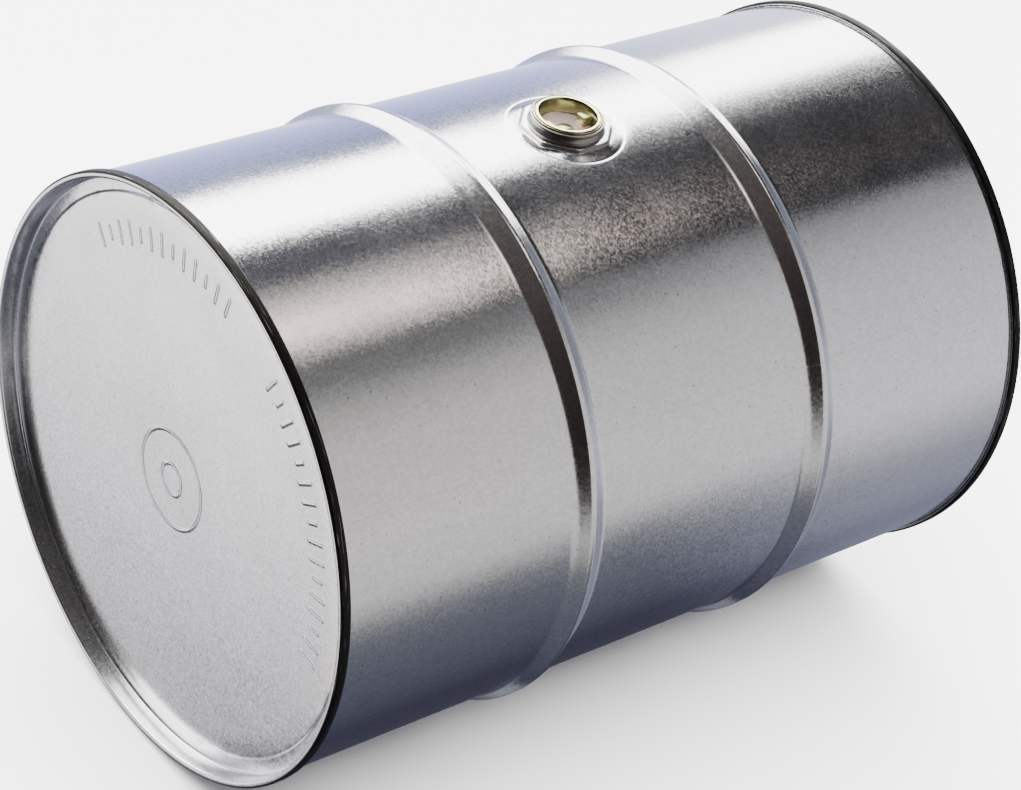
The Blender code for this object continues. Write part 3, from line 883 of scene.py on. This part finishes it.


# Shades of the yellow passivated plug, painted shade for its cup and the groove in its head, and the scales of
# its drift of colour and of its grain, per metre.
GOLD = (0.83, 0.74, 0.44, 1)
GREENISH_GOLD = (0.62, 0.64, 0.36, 1)
PINKISH_GOLD = (0.84, 0.66, 0.56, 1)
# Painted shade inside the cup.
CUP_PAINTED_SHADE = (0.25, 0.24, 0.12, 1)
CUP_FLOOR_SHADE = (0.62, 0.47, 0.42, 1)
# Painted shade in the groove of the head.
RIM_GROOVE_PAINTED_SHADE = (0.05, 0.045, 0.03, 1)
DRIFT_SCALE = 45
GRAIN_SCALE = 900
GRAIN_HEIGHT = 0.00002

# Heights between which each shade sets in.
CUP_Z = (AXIS_HEIGHT + RIM_TOP - 0.0012, AXIS_HEIGHT + RIM_TOP - 0.0035)
CUP_FLOOR_Z = (AXIS_HEIGHT + CUP_FLOOR + 0.0008, AXIS_HEIGHT + CUP_FLOOR + 0.0002)
RIM_GROOVE_Z = (AXIS_HEIGHT + HEAD_EDGE_TOP - 0.0001, AXIS_HEIGHT + HEAD_EDGE_TOP - 0.0004)


def passivated():
    """Yellow chromate over zinc: gold that drifts towards green and pink, with a fine grain.

    The cup is darkened with painted shade, its floor is pinker, and both mirror a little less. The groove in
    the head is darkened with painted shade.
    """
    shader = Shader("yellow_passivated_zinc", metallic=1.0)
    drift = shader.noise(DRIFT_SCALE, 2.0)
    colour = shader.mix(shader.remap(drift, 0.38, 0.52), GREENISH_GOLD, GOLD)
    colour = shader.mix(shader.remap(drift, 0.55, 0.66), colour, PINKISH_GOLD)
    z = shader.axes(shader.place)[2]
    cup = shader.fade(z, *CUP_Z)
    floor = shader.remap(z, *CUP_FLOOR_Z)
    groove = shader.times(shader.remap(z, *RIM_GROOVE_Z), shader.math("SUBTRACT", 1.0, cup))
    # Painted shade inside the cup.
    colour = shader.mix(shader.times(cup, 0.85), colour, CUP_PAINTED_SHADE)
    colour = shader.mix(shader.times(floor, 0.9), colour, CUP_FLOOR_SHADE)
    # Painted shade in the head's groove.
    colour = shader.mix(shader.times(groove, 0.9), colour, RIM_GROOVE_PAINTED_SHADE)
    matt = shader.math("ADD", shader.times(cup, 0.055), shader.times(floor, 0.13))
    grain = shader.noise(GRAIN_SCALE, 3.0)
    shader.set("Base Color", colour)
    shader.set("Metallic", shader.math("SUBTRACT", 1.0, matt))
    shader.set("Roughness", shader.remap(grain, 0.3, 0.7, 0.14, 0.26))
    shader.set("Normal", shader.bump(grain, GRAIN_HEIGHT))
    return shader.material


def zinc_plated():
    """Bright zinc plating with a fine grain."""
    shader = Shader("zinc_plated_steel", metallic=1.0)
    fleck = shader.noise(700)
    shader.set("Base Color", shader.mix(fleck, (0.26, 0.25, 0.23, 1), (0.40, 0.38, 0.35, 1)))
    shader.set("Roughness", shader.remap(fleck, 0.3, 0.7, 0.28, 0.42))
    shader.set("Normal", shader.bump(fleck, 0.00003))
    return shader.material


def dull(name, dark, light, roughness, scale):
    """A matt, faintly uneven material, for rubber and sealing compound."""
    shader = Shader(name)
    grain = shader.noise(scale)
    shader.set("Base Color", shader.mix(grain, (*dark, 1), (*light, 1)))
    shader.set("Roughness", shader.remap(grain, 0.3, 0.7, *roughness))
    shader.set("Normal", shader.bump(grain, 0.00006))
    return shader.material


# Camera at the photograph's viewing angle.
CAMERA_AZIMUTH = math.radians(-44.62)
CAMERA_ELEVATION = math.radians(36.53)
CAMERA_ROLL = math.radians(12.18)
CAMERA_DISTANCE = 2.908
CAMERA_AIM = Vector((-0.009, -0.013, AXIS_HEIGHT - 0.021))
CAMERA_LENS = 103.66
CAMERA_SENSOR = 36.0


def make_camera():
    """The camera, aimed a little beside the drum's middle, as in the photograph."""
    data = bpy.data.cameras.new("camera")
    data.lens = CAMERA_LENS
    data.sensor_width = CAMERA_SENSOR
    camera = bpy.data.objects.new("camera", data)
    bpy.context.scene.collection.objects.link(camera)
    flat = math.cos(CAMERA_ELEVATION)
    side = flat * math.sin(CAMERA_AZIMUTH)
    back = Vector((side, -flat * math.cos(CAMERA_AZIMUTH), math.sin(CAMERA_ELEVATION)))
    turn = back.to_track_quat("Z", "Y") @ Quaternion((0, 0, 1), CAMERA_ROLL)
    place = Matrix.Translation(CAMERA_AIM + back * CAMERA_DISTANCE)
    camera.matrix_world = place @ turn.to_matrix().to_4x4()
    bpy.context.scene.camera = camera


# The studio's surroundings, as light by the angle round the X axis, in degrees from straight up towards -Y.
# Each of the three tables has a broad softbox up on the +Y side. The first also has a narrow overhead strip,
# and the first two have a pale wall on the -Y side.
TOWARDS_REAR_LOW = (
    (-180, (0.06, 0.06, 0.095)),
    (-150, (0.06, 0.06, 0.09)),
    (-125, (2.2, 2.2, 2.6)),
    (-110, (1.35, 1.4, 2.4)),
    (-95, (0.95, 1.02, 1.95)),
    (-75, (0.55, 0.62, 1.05)),
    (-67, (0.65, 0.7, 1.05)),
    (-59, (11, 11, 11)),
    (-36, (12, 12, 11.5)),
    (-30, (0.12, 0.12, 0.14)),
    (-14, (0.15, 0.15, 0.17)),
    (-5, (1.0, 0.93, 0.88)),
    (7, (3.2, 2.7, 2.4)),
    (13, (1.8, 1.6, 1.45)),
    (20, (0.19, 0.19, 0.19)),
    (30, (0.26, 0.26, 0.26)),
    (40, (0.62, 0.6, 0.57)),
    (52, (0.92, 0.87, 0.84)),
    (90, (1.15, 1.1, 1.06)),
    (111, (1.0, 0.97, 0.95)),
    (124, (0.27, 0.28, 0.30)),
    (132, (0.18, 0.19, 0.23)),
    (155, (0.125, 0.13, 0.18)),
    (180, (0.06, 0.06, 0.095)),
)
TOWARDS_REAR_HIGH = (
    (-180, (0.28, 0.29, 0.40)),
    (-147, (0.26, 0.27, 0.36)),
    (-125, (2.0, 2.0, 2.5)),
    (-95, (1.9, 2.0, 2.6)),
    (-80, (2.2, 2.2, 2.6)),
    (-72, (11, 11, 10.5)),
    (-47, (11, 10.7, 10.2)),
    (-39, (0.8, 0.8, 0.8)),
    (-28, (0.06, 0.06, 0.065)),
    (0, (0.04, 0.037, 0.042)),
    (19, (0.05, 0.05, 0.055)),
    (27, (0.45, 0.45, 0.47)),
    (42, (0.72, 0.71, 0.74)),
    (60, (0.95, 0.94, 0.97)),
    (90, (1.15, 1.13, 1.17)),
    (112, (1.22, 1.2, 1.24)),
    (123, (1.0, 1.0, 1.06)),
    (134, (0.68, 0.69, 0.76)),
    (145, (0.48, 0.50, 0.60)),
    (165, (0.40, 0.42, 0.53)),
    (180, (0.28, 0.29, 0.40)),
)
TOWARDS_FRONT = (
    (-180, (0.30, 0.31, 0.36)),
    (-165, (0.5, 0.52, 0.62)),
    (-140, (0.75, 0.78, 0.95)),
    (-105, (0.7, 0.75, 1.0)),
    (-88, (0.9, 0.95, 1.2)),
    (-78, (9.5, 9.5, 9.3)),
    (-34, (10, 10, 9.5)),
    (-24, (0.20, 0.19, 0.19)),
    (-5, (0.13, 0.115, 0.11)),
    (18, (0.10, 0.083, 0.08)),
    (45, (0.055, 0.045, 0.042)),
    (75, (0.03, 0.025, 0.023)),
    (108, (0.04, 0.035, 0.035)),
    (122, (0.12, 0.12, 0.13)),
    (150, (0.16, 0.17, 0.20)),
    (180, (0.30, 0.31, 0.36)),
)
# The wall that the front head mirrors, by the direction's z less its x, from the wall's low end up.
HEAD_WALL = (
    (-0.28, (0.15, 0.16, 0.21)),
    (-0.235, (0.32, 0.34, 0.43)),
    (-0.205, (0.85, 0.9, 1.05)),
    (-0.165, (2.6, 2.6, 2.75)),
    (-0.02, (3.2, 3.0, 2.9)),
)

# Where the wall and the other parts begin and are complete, as parts of a direction of length one.
HEAD_WALL_Z = (-0.2, -0.4)
HEAD_WALL_Y = (0.1, 0.4)
HEAD_WALL_NEAR_Y = (0.52, 0.62)
HEAD_WALL_NEAR_SHADE = (0.72, 0.69, 0.68, 1)
BEYOND_REAR_X = (0.88, 0.94)
BEYOND_REAR_LOW_Z = (0.1, -0.15)
BEYOND_REAR_HIGH = (0.40, 0.42, 0.50, 1)
BEYOND_REAR_LOW = (1.0, 1.02, 1.15, 1)
FRONT_GAP_X = (-0.54, -0.6)
FRONT_GAP_Z = (-0.2, 0.1)
FRONT_GAP = (0.04, 0.04, 0.045, 1)
LOW_SIDE_X = (-0.56, -0.64)
LOW_SIDE_Y = (0.1, -0.2)
LOW_SIDE_Z = (0.0, -0.15)
LOW_SIDE = (0.50, 0.51, 0.55, 1)

# Borders between the tables. Round the strip, the border between the first two lies a little nearer.
STRIP_ANGLE = math.radians(-6)
STRIP_REACH = (math.radians(26), math.radians(34))
REAR_BORDER_X = (0.54, 0.585)
REAR_BORDER_WIDTH = 0.065
FRONT_BORDER_ANGLES = (math.radians(20), math.radians(110))
FRONT_BORDER_X = (0.42, -0.3)
FRONT_BORDER_WIDTHS = (0.06, -0.26)


def in_radians(stops):
    """The same stops, with their angles in radians."""
    return [(math.radians(degrees), colour) for degrees, colour in stops]


def rear_surroundings(nodes, x, z, angle):
    """Light from +X: two tables, one further out than the other, and what lies beyond them."""
    low = nodes.ramp(angle, in_radians(TOWARDS_REAR_LOW))
    high = nodes.ramp(angle, in_radians(TOWARDS_REAR_HIGH))
    border = nodes.remap(nodes.distance(angle, STRIP_ANGLE), *STRIP_REACH, *REAR_BORDER_X)
    further = nodes.fade(nodes.math("SUBTRACT", x, border), 0.0, REAR_BORDER_WIDTH)
    beyond = nodes.mix(nodes.fade(z, *BEYOND_REAR_LOW_Z), BEYOND_REAR_HIGH, BEYOND_REAR_LOW)
    return nodes.mix(nodes.fade(x, *BEYOND_REAR_X), nodes.mix(further, low, high), beyond)


def front_surroundings(nodes, x, y, z, angle):
    """Light from -X: its table, the wall that the front head mirrors, a dark gap and a grey low side."""
    wall = nodes.ramp(nodes.math("SUBTRACT", z, x), HEAD_WALL)
    near = nodes.mix(nodes.fade(y, *HEAD_WALL_NEAR_Y), HEAD_WALL_NEAR_SHADE, (1, 1, 1, 1))
    wall = nodes.mix(1.0, wall, near, blend="MULTIPLY")
    in_wall = nodes.times(nodes.fade(z, *HEAD_WALL_Z), nodes.fade(y, *HEAD_WALL_Y))
    light = nodes.mix(in_wall, nodes.ramp(angle, in_radians(TOWARDS_FRONT)), wall)
    gap = nodes.times(nodes.fade(x, *FRONT_GAP_X), nodes.fade(z, *FRONT_GAP_Z))
    light = nodes.mix(gap, light, FRONT_GAP)
    low_side = nodes.times(nodes.fade(x, *LOW_SIDE_X), nodes.fade(z, *LOW_SIDE_Z))
    low_side = nodes.times(low_side, nodes.fade(y, *LOW_SIDE_Y))
    return nodes.mix(low_side, light, LOW_SIDE)


def make_world():
    """Plain studio surroundings: a broad softbox, an overhead strip, pale walls and dark gaps."""
    world = bpy.data.worlds.new("studio")
    bpy.context.scene.world = world
    world.use_nodes = True
    nodes = Nodes(world.node_tree)
    x, y, z = nodes.axes(nodes.add("ShaderNodeTexCoord").outputs["Generated"])
    angle = nodes.math("ARCTAN2", nodes.times(y, -1.0), z)
    rear = rear_surroundings(nodes, x, z, angle)
    front = front_surroundings(nodes, x, y, z, angle)
    border = nodes.remap(angle, *FRONT_BORDER_ANGLES, *FRONT_BORDER_X)
    towards_front = nodes.fade(nodes.math("SUBTRACT", x, border), *FRONT_BORDER_WIDTHS)
    light = nodes.mix(towards_front, rear, front)
    nodes.tree.links.new(light, nodes.tree.nodes["Background"].inputs["Color"])


FLOOR_SIZE = 60.0
FLOOR_SHADE = (0.9, 0.9, 0.9, 1)
FILL_PLACE = (0, 0, 5)
FILL_SIZE = 8.0
FILL_POWER = 2600


def make_floor():
    """A plain pale floor. The drum doesn't mirror it, so that the drum's underside stays dark."""
    mesh = bmesh.new()
    bmesh.ops.create_grid(mesh, x_segments=1, y_segments=1, size=FLOOR_SIZE / 2)
    data = bpy.data.meshes.new("floor")
    mesh.to_mesh(data)
    mesh.free()
    floor = bpy.data.objects.new("floor", data)
    floor.location.z = AXIS_HEIGHT - CREST_RADIUS - GAP
    floor.visible_glossy = False
    shader = Shader("pale_floor", roughness=0.9)
    shader.bsdf.inputs["Base Color"].default_value = FLOOR_SHADE
    shader.bsdf.inputs["Specular IOR Level"].default_value = 0.0
    data.materials.append(shader.material)
    bpy.context.scene.collection.objects.link(floor)


def make_fill():
    """A broad soft light above the drum, for the floor. The metal doesn't mirror it."""
    data = bpy.data.lights.new("floor_fill", "AREA")
    data.shape = "RECTANGLE"
    data.size = FILL_SIZE
    data.size_y = FILL_SIZE
    data.energy = FILL_POWER
    light = bpy.data.objects.new("floor_fill", data)
    light.location = FILL_PLACE
    light.rotation_mode = "QUATERNION"
    light.rotation_quaternion = Vector(FILL_PLACE).to_track_quat("Z", "Y")
    light.visible_glossy = False
    bpy.context.scene.collection.objects.link(light)


def main():
    sheet = galvanised("galvanised_sheet", (0.54, 0.54, 0.56), (0.74, 0.74, 0.76), (0.10, 0.19), 0.024)
    panel = galvanised(
        "galvanised_panel", (0.58, 0.58, 0.60), (0.76, 0.76, 0.78), (0.16, 0.28), 0.02, head=True
    )
    rubber = dull("black_rubber", (0.02, 0.02, 0.02), (0.05, 0.05, 0.05), (0.5, 0.75), 600)
    compound = dull("seaming_compound", (0.32, 0.07, 0.05), (0.5, 0.15, 0.1), (0.5, 0.8), 300)
    make_body(sheet)
    make_head("front_head_sheet", -1, "front_head", panel)
    make_head("rear_head_sheet", 1, "rear_head", panel)
    make_marks(panel)
    make_flange(zinc_plated())
    make_gasket("flange_gasket_ring", "bung_flange_gasket", "drum", FLANGE_GASKET_INNER, rubber)
    make_gasket("plug_gasket_ring", "bung_plug_gasket", "plug_seal", PLUG_GASKET_INNER, rubber)
    make_plug(passivated())
    for node in ("front_seam_compound", "rear_seam_compound"):
        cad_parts[node].data.materials.clear()
        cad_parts[node].data.materials.append(compound)
    make_world()
    make_fill()
    make_floor()
    make_camera()


main()
